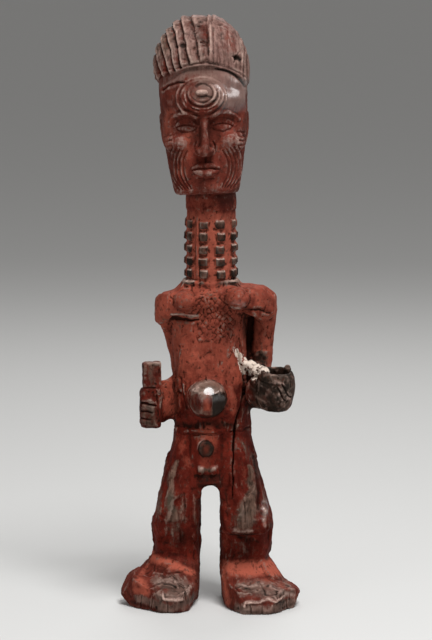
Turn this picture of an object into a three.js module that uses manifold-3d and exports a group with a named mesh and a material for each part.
import * as THREE from 'three';
import { mergeVertices } from 'three/addons/utils/BufferGeometryUtils.js';
import Module from 'manifold-3d';

const wasm = await Module();
wasm.setup();

// A standing wooden figure, carved whole from one billet, holding a staff and a small cup.
// Millimetres. x runs to the figure's left hand, y to its back and z up. The body's axis is
// x = 0, y = 0 while it is carved; the finished figure is then centred on its own footprint.
// A station of a loft is [place along it, low and high limit one way, low and high the other].

const legs = {
  gap: 9.6,
  gapTop: 62,
  gapAt: 0.2,
  widening: 1.2,
  stations: [
    [0.2, 6.5, 27, -10, 10],
    [18, 5, 29, -14.5, 10.5],
    [28, 4.8, 30.6, -16, 13.5],
    [36, 4.8, 31.2, -16, 14],
    [39, 4.8, 31.2, -23.5, 13.5],
    [47, 4.8, 30, -24.5, 12],
    [57, 4.8, 27.4, -22.5, 13.5],
    [67, 4.2, 25.4, -20, 18],
    [76, 3, 22.6, -18, 21.5],
    [84, 2, 20, -16.5, 20],
    [90, 1, 18.6, -15.5, 15],
  ],
};
const foot = {
  heel: 12,
  toe: -38,
  spread: 45.2,
  instep: 21,
  edge: 7,
  innerSide: 5.6,
};
const torso = {
  stations: [
    [84, -18.3, 20.6, -15.5, 17],
    [92, -18.5, 21, -17, 14.5],
    [104, -18.4, 20.4, -18, 13],
    [120, -18.5, 19, -16.5, 13],
    [134, -19.6, 18.8, -15.5, 13.5],
    [148, -20.4, 20.4, -15, 14],
    [158, -18.8, 19, -13.5, 13.5],
    [166, -13.4, 14.4, -12.5, 12.5],
  ],
  beltFrom: 88,
  beltTo: 90.6,
  beltProud: 0.7,
};
const belly = {
  at: [-1, -17, 108.3],
  radius: 10,
  reach: 12.5,
  ringRadius: 11.8,
  ringThick: 1.1,
};
const panel = {
  at: -2,
  top: 88,
  bottom: 68,
  topWidth: 14.5,
  bottomWidth: 11.5,
  front: -18.4,
  discRadius: 3.9,
  discAt: 81.5,
  knobRadius: 2.1,
  knobSpacing: 6.4,
};
const yoke = {
  stations: [
    [-27.8, -5, 5, 143.5, 155.5],
    [-24.5, -9, 9.5, 142, 159],
    [-15, -14, 12.5, 147, 162],
    [1, -16, 13, 150, 163.4],
    [18, -14.5, 12.5, 147, 163.4],
    [28, -9.5, 10, 143.5, 162],
    [33.6, -5, 6, 146, 157.5],
  ],
  breastAt: [13.4, -15.5, 157],
  breastRadii: [5.8, 8.4, 5.4],
  breastCentre: 1,
};
const neck = {
  at: 0.6,
  radius: 12.4,
  top: 212,
  bottom: 158,
  bandRadius: 13.4,
  bandFrom: 203.6,
  bandTo: 208.8,
  columns: 10,
  rows: 6,
  firstColumn: -17,
  firstRow: 170,
  rowPitch: 6.2,
  blockWidth: 3.8,
  blockHeight: 3.6,
  blockProud: 1.3,
};
const head = {
  at: -1.5,
  pivot: 208,
  lean: 2,
  chin: 210,
  hairline: 270,
  halfWidth: 22.3,
  front: -22,
  back: 18,
};
const rings = {
  at: [-0.9, 261],
  radius: 12.2,
  count: 3,
  pitch: 2.9,
  proud: 1.1,
  flatness: 0.8,
  knob: 3.3,
};
const coiffure = {
  from: 264.5,
  top: 298.8,
  halfWidth: 24,
  front: -23,
  back: 21,
  ridges: 24,
  relief: 1.1,
  bandHeight: 2.4,
  bandProud: 0.7,
  frontRise: 11,
  napeDrop: 12,
};
const staff = {
  at: [-29.2, -21.5],
  width: 9.4,
  thick: 6,
  from: 95,
  top: 126.4,
  slant: 1.2,
  turn: 8,
};
const fist = {
  at: [-29.8, -18, 102],
  radii: [5.4, 8, 10.4],
  fingers: 4,
  lowest: 94.2,
  pitch: 4.85,
  fingerRadius: 2.5,
};
const cup = {
  at: [34.2, -19.5, 101.2],
  tilt: 9,
  radius: 8,
  height: 18.6,
  wall: 1.7,
  floor: 6.5,
  fingers: 3,
  fingerPitch: 4.4,
  fingerRadius: 2.2,
};
const crackLine = [
  [14, 129],
  [17.2, 115],
  [15, 97],
  [13, 87],
  [11.4, 70],
  [10.4, 54],
];
const crack = { width: 1.5, front: -26, back: -9 };
const sliver = 0.08;

const degrees = Math.PI / 180;
const mean = (low, high) => (low + high) / 2;
const upright = (along, a, b) => [a, b, along];
const sideways = (along, a, b) => [along, a, b];

// A closed geometry becomes a solid that can be joined and cut.
function solid(geometry) {
  geometry.deleteAttribute('normal');
  geometry.deleteAttribute('uv');
  const merged = mergeVertices(geometry, 1e-4);
  return new wasm.Manifold(new wasm.Mesh({
    numProp: 3,
    vertProperties: new Float32Array(merged.attributes.position.array),
    triVerts: new Uint32Array(merged.index.array),
  }));
}

function joined(geometries) {
  return geometries.map(solid).reduce((whole, next) => whole.add(next));
}

// Rings of points, all turning the same way, become one closed skin with a fan at each end.
function skin(ringsOfPoints) {
  const sides = ringsOfPoints[0].length;
  const points = ringsOfPoints.flat();
  const faces = [];
  for (let ring = 0; ring + 1 < ringsOfPoints.length; ring += 1) {
    for (let side = 0; side < sides; side += 1) {
      const here = ring * sides + side;
      const next = ring * sides + ((side + 1) % sides);
      faces.push(here, next, next + sides, here, next + sides, here + sides);
    }
  }
  const centre = (ring) => [0, 1, 2].map((k) => ring.reduce((sum, p) => sum + p[k], 0) / sides);
  const start = points.push(centre(ringsOfPoints[0])) - 1;
  const end = points.push(centre(ringsOfPoints.at(-1))) - 1;
  const last = (ringsOfPoints.length - 1) * sides;
  for (let side = 0; side < sides; side += 1) {
    const next = (side + 1) % sides;
    faces.push(start, next, side, end, last + side, last + next);
  }
  const geometry = new THREE.BufferGeometry();
  geometry.setAttribute('position', new THREE.Float32BufferAttribute(points.flat(), 3));
  geometry.setIndex(faces);
  return geometry;
}

// A circle pulled towards a square: power 1 keeps the circle, a smaller one squares it.
function rounded(turn, power) {
  return Math.sign(turn) * Math.abs(turn) ** power;
}

function loft(stations, { sides = 24, power = 0.8, place = upright, relief = () => 1 } = {}) {
  return skin(stations.map(([along, aLow, aHigh, bLow, bHigh]) => {
    const ring = [];
    for (let side = 0; side < sides; side += 1) {
      const turn = (2 * Math.PI * side) / sides;
      const out = relief(turn, along) / 2;
      const a = mean(aLow, aHigh) + rounded(Math.cos(turn), power) * (aHigh - aLow) * out;
      const b = mean(bLow, bHigh) + rounded(Math.sin(turn), power) * (bHigh - bLow) * out;
      ring.push(place(along, a, b));
    }
    return ring;
  }));
}

// A limb is a round section swept along a smooth line, with a radius for each of its points.
function limb(line, radii, { sides = 8, steps = 5 } = {}) {
  const curve = new THREE.CatmullRomCurve3(line.map((p) => new THREE.Vector3(...p)));
  const frames = curve.computeFrenetFrames(steps, false);
  const ringAt = (step, radius, push) => {
    const centre = curve.getPointAt(step / steps).addScaledVector(frames.tangents[step], push);
    return Array.from({ length: sides }, (_, side) => {
      const turn = (2 * Math.PI * side) / sides;
      const point = centre.clone();
      point.addScaledVector(frames.normals[step], radius * Math.cos(turn));
      point.addScaledVector(frames.binormals[step], radius * Math.sin(turn));
      return point.toArray();
    });
  };
  const radiusAt = (share) => {
    const place = share * (radii.length - 1);
    const before = Math.min(Math.floor(place), radii.length - 2);
    return THREE.MathUtils.lerp(radii[before], radii[before + 1], place - before);
  };
  const first = radii[0];
  const last = radii.at(-1);
  const body = frames.tangents.map((_, step) => ringAt(step, radiusAt(step / steps), 0));
  const tip = (step, radius, way) => [0.5, 0.8].map((out) => (
    ringAt(step, radius * Math.sqrt(1 - out * out), way * radius * out)));
  return skin([...tip(0, first, -1).reverse(), ...body, ...tip(steps, last, 1)]);
}

function ball([x, y, z], [rx, ry, rz], across = 10, down = 6) {
  const geometry = new THREE.SphereGeometry(1, across, down);
  geometry.rotateX(Math.PI / 2);
  geometry.scale(rx, ry, rz);
  geometry.translate(x, y, z);
  return geometry;
}

// A plate has an outline seen from the front and runs from one depth to another.
function plate(outline, front, back) {
  const shape = new THREE.Shape(outline.map((p) => new THREE.Vector2(...p)));
  const geometry = new THREE.ExtrudeGeometry(shape, { depth: back - front, bevelEnabled: false });
  geometry.rotateX(Math.PI / 2);
  geometry.translate(0, back, 0);
  return geometry;
}

// A turned form that looks to the front, from pairs of radius and reach forwards.
function frontLathe(profile, [x, y, z], around, flatness = 1) {
  const line = profile.map(([radius, reach]) => new THREE.Vector2(Math.max(radius, 0), reach));
  line.at(-1).x = 0;
  const geometry = new THREE.LatheGeometry(line, around);
  geometry.rotateX(Math.PI);
  geometry.scale(1, 1, flatness);
  geometry.translate(x, y, z);
  return geometry;
}

// Each leg is a squared column: the thigh ends in a ledge over the knee and the shin is set back.
function leg(side) {
  const wide = side > 0 ? legs.widening : -legs.widening;
  const stations = legs.stations.map(([z, inner, outer, front, back]) => {
    const low = legs.gapAt + inner * side;
    const high = legs.gapAt + (outer + wide / 2) * side;
    return [z, Math.min(low, high), Math.max(low, high), front, back];
  });
  return loft(stations, { sides: 16, power: 0.62 });
}

function pelvis() {
  const arch = new THREE.CylinderGeometry(legs.gap / 2, legs.gap / 2, 60, 16);
  arch.translate(legs.gapAt, 0, legs.gapTop - legs.gap / 2);
  const stations = [
    [57, -12, 12.4, -15, 12],
    [70, -13, 13.4, -16.5, 17],
    [80, -15, 15.4, -16.4, 18],
    [89, -17, 17, -15.8, 15],
  ];
  return solid(loft(stations, { sides: 16, power: 0.7 })).subtract(solid(arch));
}

// A foot is the part common to its sole, its side profile and its front profile.
function footOutline(side) {
  const { heel, toe, spread, innerSide } = foot;
  const blunt = side > 0 ? 0 : 3;
  return [
    [innerSide + 0.6, heel - 2],
    [innerSide + 3, heel],
    [24, heel],
    [27.4, heel - 3],
    [30.5, -3],
    [spread - 2.4, -9 + blunt],
    [spread, -15 + blunt],
    [spread - 1.6, -23 + 2 * blunt],
    [spread - 7, -31 + 2 * blunt],
    [31 - blunt * 2, toe + blunt],
    [17, toe + blunt * 0.8],
    [10.6, toe + 9],
    [innerSide + 2.4, toe + 22],
    [innerSide, toe + 36],
  ];
}

function footSolid(side) {
  const tall = 24;
  const { heel, toe, spread, instep, edge, innerSide } = foot;
  const sole = new THREE.Shape(footOutline(side).map(([x, y]) => new THREE.Vector2(x * side, y)));
  const plan = new THREE.ExtrudeGeometry(sole, { depth: tall, bevelEnabled: false });
  const profile = new THREE.Shape();
  profile.moveTo(heel + 1, 0);
  profile.lineTo(heel + 1, instep - 6);
  profile.lineTo(4, instep + 1);
  profile.lineTo(-13, instep);
  profile.quadraticCurveTo(-20, instep - 2, -26, instep - 8);
  profile.lineTo(toe + 3, edge + 0.6);
  profile.lineTo(toe - 0.5, edge - 1.2);
  profile.lineTo(toe - 1, 0);
  const long = new THREE.ExtrudeGeometry(profile, { depth: 2 * spread, bevelEnabled: false });
  long.rotateX(Math.PI / 2);
  long.rotateZ(Math.PI / 2);
  long.translate(side > 0 ? 0 : -2 * spread, 0, 0);
  const across = plate([
    [(innerSide - 1) * side, 0],
    [(innerSide - 1) * side, instep - 5],
    [(innerSide + 4) * side, instep + 1],
    [29 * side, instep + 1],
    [(spread - 7) * side, edge + 6.5],
    [(spread - 0.6) * side, edge + 1],
    [(spread + 1) * side, 0],
  ], toe - 2, heel + 2);
  return solid(plan).intersect(solid(long)).intersect(solid(across));
}

// The trunk is a rounded column with a narrow raised belt where it meets the hips.
function trunk() {
  const { stations, beltFrom, beltTo, beltProud } = torso;
  const [, left, right, front, back] = stations[1];
  const edges = [[beltFrom, 0], [beltFrom + 0.3, 1], [beltTo - 0.3, 1], [beltTo, 0]];
  const belt = edges.map(([z, share]) => {
    const proud = beltProud * share;
    return [z, left - proud, right + proud, front - proud, back + proud];
  });
  return solid(loft([stations[0], ...belt, ...stations.slice(2)], { sides: 20, power: 0.78 }));
}

// The navel dome stands out of the belly inside a raised ring.
function bellyDome() {
  const { at, radius, reach, ringRadius, ringThick } = belly;
  const outer = ringRadius + ringThick;
  const profile = [[0, -6], [outer, -6], [outer, 0.6], [ringRadius, 1.8], [radius + 0.5, 0.6]];
  for (let step = 1; step <= 5; step += 1) {
    const turn = (step / 5) * (Math.PI / 2);
    profile.push([radius * Math.cos(turn) ** 0.8, reach * Math.sin(turn)]);
  }
  return solid(frontLathe(profile, at, 16));
}

function pubicPanel() {
  const { at, top, bottom, topWidth, bottomWidth, front } = panel;
  const disc = new THREE.CylinderGeometry(panel.discRadius, panel.discRadius + 0.5, 4, 16);
  disc.rotateX(Math.PI);
  disc.translate(at, front, panel.discAt);
  const knobs = [-1, 1].map((side) => (
    ball([at + (side * panel.knobSpacing) / 2, front + 0.6, bottom + 1.2],
      [panel.knobRadius, 2.8, panel.knobRadius], 10, 6)));
  return joined([
    plate([
      [at - bottomWidth / 2, bottom],
      [at + bottomWidth / 2, bottom],
      [at + topWidth / 2, top],
      [at - topWidth / 2, top],
    ], front, -8),
    disc,
    ...knobs,
  ]);
}

function shoulders() {
  const { breastAt: [x, y, z], breastRadii, breastCentre } = yoke;
  const breasts = [-1, 1].map((side) => ball([breastCentre + side * x, y, z], breastRadii));
  return joined([loft(yoke.stations, { sides: 14, power: 0.75, place: sideways }), ...breasts]);
}

// The right arm keeps close behind the flank; its forearm comes forward at the waist as a block.
function rightArm() {
  return joined([
    limb([[-22.4, 1.5, 149.5], [-17.4, 5.5, 135], [-15, 5, 115]], [6.4, 5.6, 6.6]),
    loft([
      [-29.5, -21, -11, 95, 111],
      [-24.5, -17, -4, 93.4, 113.2],
      [-18.5, -10, 9, 93.4, 116],
      [-9, -7, 13, 95, 120],
    ], { sides: 12, power: 0.7, place: sideways }),
  ]);
}

// The left arm stands off the flank, with a web of wood left behind the space between them.
function leftArm() {
  return joined([
    limb([[28.4, 1, 151], [27, 4, 137], [24.6, 4, 115]], [6, 5.4, 6.6]),
    loft([
      [10, -5, 13, 99, 126],
      [20, -9, 11, 99.4, 123.8],
      [27, -15, 5, 99.6, 121.5],
      [33.5, -20, -8, 101, 117],
    ], { sides: 12, power: 0.7, place: sideways }),
    loft([
      [10, 3, 12, 112, 154],
      [26, 4, 9.5, 116, 152],
    ], { sides: 12, power: 0.5, place: sideways }),
  ]);
}

function staffInFist() {
  const [x, y] = staff.at;
  const half = staff.width / 2;
  const shaft = plate([
    [-half, staff.from],
    [half, staff.from],
    [half, staff.top],
    [half / 3, staff.top],
    [-half + 0.8, staff.top - staff.slant],
    [-half, staff.top - 2 * staff.slant],
  ], -staff.thick / 2, staff.thick / 2);
  shaft.rotateZ(staff.turn * degrees);
  shaft.translate(x, y, 0);
  const [fx, fy] = fist.at;
  const reach = fist.radii[0] + 0.4;
  const fingers = Array.from({ length: fist.fingers }, (_, row) => {
    const z = fist.lowest + row * fist.pitch;
    return limb([
      [fx - reach + 1.6, fy + 3, z],
      [fx - reach + 1.4, fy - 5, z],
      [fx, fy - 7.4, z],
      [fx + reach - 1.6, fy - 5, z],
    ], [fist.fingerRadius, fist.fingerRadius, fist.fingerRadius - 0.2], { sides: 5, steps: 4 });
  });
  const thumb = limb([
    [fx + 4.6, fy + 2, 108],
    [fx + 5, fy - 4, 111],
    [fx + 2.4, fy - 6.6, 112.5],
  ], [2.6, 2.4, 2], { sides: 5, steps: 3 });
  return joined([shaft, ball(fist.at, fist.radii, 8, 5), thumb, ...fingers]);
}

function cupProfile(scale, from) {
  const { radius, height } = cup;
  return [[0, 0], [0.5, 0.02], [0.8, 0.16], [0.95, 0.45], [1, 1]].map(([r, h]) => (
    new THREE.Vector2(r * (radius - scale), from + h * (height - from))));
}

function cupGeometry(profile) {
  const geometry = new THREE.LatheGeometry(profile, 16);
  geometry.rotateX(Math.PI / 2 + cup.tilt * degrees);
  geometry.translate(...cup.at);
  return geometry;
}

// The cup is hollow, with the fingers of the left hand round its outer side.
function cupInHand() {
  const outer = cupProfile(0, 0);
  const inner = cupProfile(cup.wall, cup.floor);
  inner.push(new THREE.Vector2(cup.radius - cup.wall, cup.height + 2));
  outer.push(new THREE.Vector2(0, cup.height));
  inner.push(new THREE.Vector2(0, cup.height + 2));
  const [x, y, z] = cup.at;
  const fingers = Array.from({ length: cup.fingers }, (_, row) => {
    const reach = cup.radius - 1.6 + row * 0.5;
    const level = z + 3 + row * cup.fingerPitch;
    return limb([
      [x + 1, y + reach + 1, level + 1],
      [x + reach * 0.9, y + reach * 0.6, level + 1],
      [x + reach + 1, y - reach * 0.3, level],
      [x + reach * 0.4, y - reach - 0.6, level - 1],
    ], [cup.fingerRadius + 0.3, cup.fingerRadius, cup.fingerRadius - 0.4], { sides: 5, steps: 5 });
  });
  const thumb = limb([
    [x - 4, y + 7, z + 12],
    [x - 1, y + 8.4, z + 17],
    [x + 3, y + 8, z + 20.4],
  ], [3, 2.6, 2.1], { sides: 5, steps: 3 });
  const palm = ball([x - 3, y + 4.5, z + 5], [8.4, 7.6, 7.6]);
  return joined([cupGeometry(outer), palm, thumb, ...fingers])
    .subtract(solid(cupGeometry(inner)));
}

// The long neck carries rows of raised square blocks below a plain band.
function longNeck() {
  const tall = neck.top - neck.bottom;
  const facets = 2 * neck.columns;
  const column = new THREE.CylinderGeometry(neck.radius, neck.radius, tall, facets);
  column.rotateX(Math.PI / 2);
  column.rotateZ((neck.firstColumn + 180 / facets) * degrees);
  column.translate(neck.at, 0, mean(neck.top, neck.bottom));
  const bandHeight = neck.bandTo - neck.bandFrom;
  const band = new THREE.CylinderGeometry(neck.bandRadius, neck.bandRadius, bandHeight, facets);
  band.rotateX(Math.PI / 2);
  band.translate(neck.at, 0, mean(neck.bandFrom, neck.bandTo));
  const blocks = [];
  for (let row = 0; row < neck.rows; row += 1) {
    for (let place = 0; place < neck.columns; place += 1) {
      const square = new THREE.BoxGeometry(neck.blockWidth, 2 * neck.blockProud, neck.blockHeight);
      square.translate(0, -neck.radius, neck.firstRow + row * neck.rowPitch);
      square.rotateZ((neck.firstColumn + (360 / neck.columns) * place) * degrees);
      square.translate(neck.at, 0, 0);
      blocks.push(square);
    }
  }
  return joined([column, band, ...blocks]);
}

// The face is a calm, plain one: brow, nose and mouth part its height into three equal lengths.
function face() {
  const third = (head.hairline - head.chin) / 3;
  const fifth = (2 * head.halfWidth) / 5;
  const brow = head.hairline - third;
  const noseBase = brow - third;
  const mouth = noseBase - third / 3;
  const eye = brow - third / 5;
  const front = head.front;
  const nose = loft([
    [noseBase - 0.6, -fifth * 0.3, fifth * 0.3, front - 2, front + 6],
    [noseBase + 1, -fifth / 2, fifth / 2, front - 5, front + 6],
    [noseBase + 5, -fifth * 0.36, fifth * 0.36, front - 4.4, front + 6],
    [eye, -fifth * 0.22, fifth * 0.22, front - 1.6, front + 6],
    [brow + 1, -fifth * 0.26, fifth * 0.26, front - 0.4, front + 6],
  ], { sides: 14, power: 0.9 });
  const lips = [[1.5, 1.5], [-1.6, 1.7]].map(([rise, radius]) => limb([
    [-fifth * 0.78, front + 2.4, mouth],
    [0, front - 0.6, mouth + rise],
    [fifth * 0.78, front + 2.4, mouth],
  ], [0.9, radius, 0.9], { sides: 5, steps: 4 }));
  const pairs = [-1, 1].flatMap((side) => [
    ball([side * fifth, front + 3.4, eye], [fifth * 0.52, 2.7, fifth * 0.3]),
    limb([
      [side * fifth * 0.35, front + 1.6, brow],
      [side * fifth, front + 1.7, brow + 1.4],
      [side * fifth * 1.75, front + 5.6, brow - 1.2],
    ], [1.1, 1.1, 0.8], { sides: 5, steps: 4 }),
    limb([
      [side * head.halfWidth * 0.93, 2, brow],
      [side * (head.halfWidth - 0.6), 5, mean(brow, noseBase)],
      [side * head.halfWidth * 0.88, 2, noseBase],
    ], [1.5, 1.6, 1.2], { sides: 5, steps: 4 }),
  ]);
  return [nose, ...lips, ...pairs];
}

function skull() {
  const { chin, halfWidth, front, back } = head;
  const outline = [
    [-2, 0.5, 3.5, -8],
    [0.4, 0.76, 2.4, -6],
    [9, 0.85, 2, -3.4],
    [19, 0.91, 1.7, -1.4],
    [30, 0.965, 1.3, -0.4],
    [42, 0.99, 1, 0],
    [54, 1.01, 0.2, 0.6],
    [68, 0.96, 1.4, 0],
  ];
  return loft(outline.map(([rise, wide, inFront, behind]) => (
    [chin + rise, -halfWidth * wide, halfWidth * wide, front + inFront, back + behind]
  )), { sides: 16, power: 0.86 });
}

// Rings one inside the other stand round a knob on a low swelling of the forehead.
function foreheadRings() {
  const { at: [x, z], radius, count, pitch, proud, flatness, knob } = rings;
  const swell = (r) => 1.6 * (1 - (r / radius) ** 2);
  const profile = [[0, -8], [radius, -8], [radius, swell(radius)]];
  for (let ring = 0; ring < count; ring += 1) {
    const crest = radius - ring * pitch - pitch * 0.35;
    const groove = radius - (ring + 1) * pitch;
    profile.push([crest, swell(crest) + proud], [groove, swell(groove)]);
  }
  profile.push([knob * 0.75, swell(0) + proud + 0.6], [0, swell(0) + proud + 1]);
  return [frontLathe(profile, [x, head.front + 1, z], 16, flatness)];
}

// The hair is a ridged cap whose plain rim arches over the forehead and drops to the nape.
function hair() {
  const { from, top, halfWidth, front, back, ridges, relief } = coiffure;
  const { bandHeight, bandProud, frontRise, napeDrop } = coiffure;
  const rise = top - from;
  const rim = bandHeight / rise;
  const proud = bandProud / halfWidth;
  const shares = [
    [0, 0.96],
    [0.01, 0.96 + proud],
    [rim, 0.965 + proud],
    [rim + 0.01, 0.965],
    [0.4, 1],
    [0.6, 0.955],
    [0.78, 0.79],
    [0.92, 0.55],
    [1, 0.28],
  ];
  const middle = mean(front, back);
  const stations = shares.map(([up, wide]) => {
    const depth = ((back - front) / 2) * wide;
    return [from + rise * up, -halfWidth * wide, halfWidth * wide, middle - depth, middle + depth];
  });
  const grooved = (turn, along) => {
    const above = along > from + bandHeight + 0.1 ? 1 : 0;
    return 1 - ((above * relief) / halfWidth) * (1 - Math.cos(ridges * turn)) / 2;
  };
  const arched = (along, x, y) => {
    const share = (top - along) / rise;
    const lift = y < 0 ? frontRise * (y / front) ** 2 : -napeDrop * (y / back) ** 2;
    return [x, y, along + lift * share * share];
  };
  return [loft(stations, { sides: ridges * 2, power: 0.94, relief: grooved, place: arched })];
}

// The head leans a little to the figure's right over the neck.
function headOnNeck() {
  const turned = new THREE.Matrix4().makeTranslation(head.at, 0, head.pivot)
    .multiply(new THREE.Matrix4().makeRotationY(-head.lean * degrees))
    .multiply(new THREE.Matrix4().makeTranslation(0, 0, -head.pivot));
  const pieces = [skull(), ...face(), ...foreheadRings(), ...hair()];
  return joined(pieces.map((piece) => piece.applyMatrix4(turned)));
}

// An old drying crack runs from the left flank down into the left thigh.
function cracked() {
  const half = crack.width / 2;
  const fromEnd = (index) => Math.min(index, crackLine.length - 1 - index);
  const taper = (index) => half * Math.min(1, 0.35 + 0.5 * fromEnd(index));
  const left = crackLine.map(([x, z], index) => [x - taper(index), z]);
  const right = crackLine.map(([x, z], index) => [x + taper(index), z]);
  return solid(plate([...left.reverse(), ...right], crack.front, crack.back));
}

function carving() {
  const parts = [
    solid(leg(-1)),
    solid(leg(1)),
    footSolid(-1),
    footSolid(1),
    pelvis(),
    trunk(),
    bellyDome(),
    pubicPanel(),
    shoulders(),
    rightArm(),
    leftArm(),
    staffInFist(),
    cupInHand(),
    longNeck(),
    headOnNeck(),
  ];
  const whole = parts.reduce((sum, part) => sum.add(part)).subtract(cracked());
  const pieces = whole.simplify(sliver).decompose();
  return pieces.sort((one, other) => other.numTri() - one.numTri())[0];
}

function geometryOf(solidPart) {
  const { vertProperties, triVerts } = solidPart.getMesh();
  const geometry = new THREE.BufferGeometry();
  geometry.setAttribute('position', new THREE.BufferAttribute(new Float32Array(vertProperties), 3));
  geometry.setIndex(new THREE.BufferAttribute(new Uint32Array(triVerts), 1));
  return geometry;
}

const wood = new THREE.MeshStandardMaterial({ color: '#7d3325', roughness: 0.68, metalness: 0 });
const geometry = geometryOf(carving());
geometry.computeBoundingBox();
const { min, max } = geometry.boundingBox;
geometry.translate(-mean(min.x, max.x), -mean(min.y, max.y), -min.z);
geometry.computeVertexNormals();

const carvedFigure = new THREE.Mesh(geometry, wood);
carvedFigure.name = 'carved_figure';

const figure = new THREE.Group();
figure.add(carvedFigure);

export default figure;
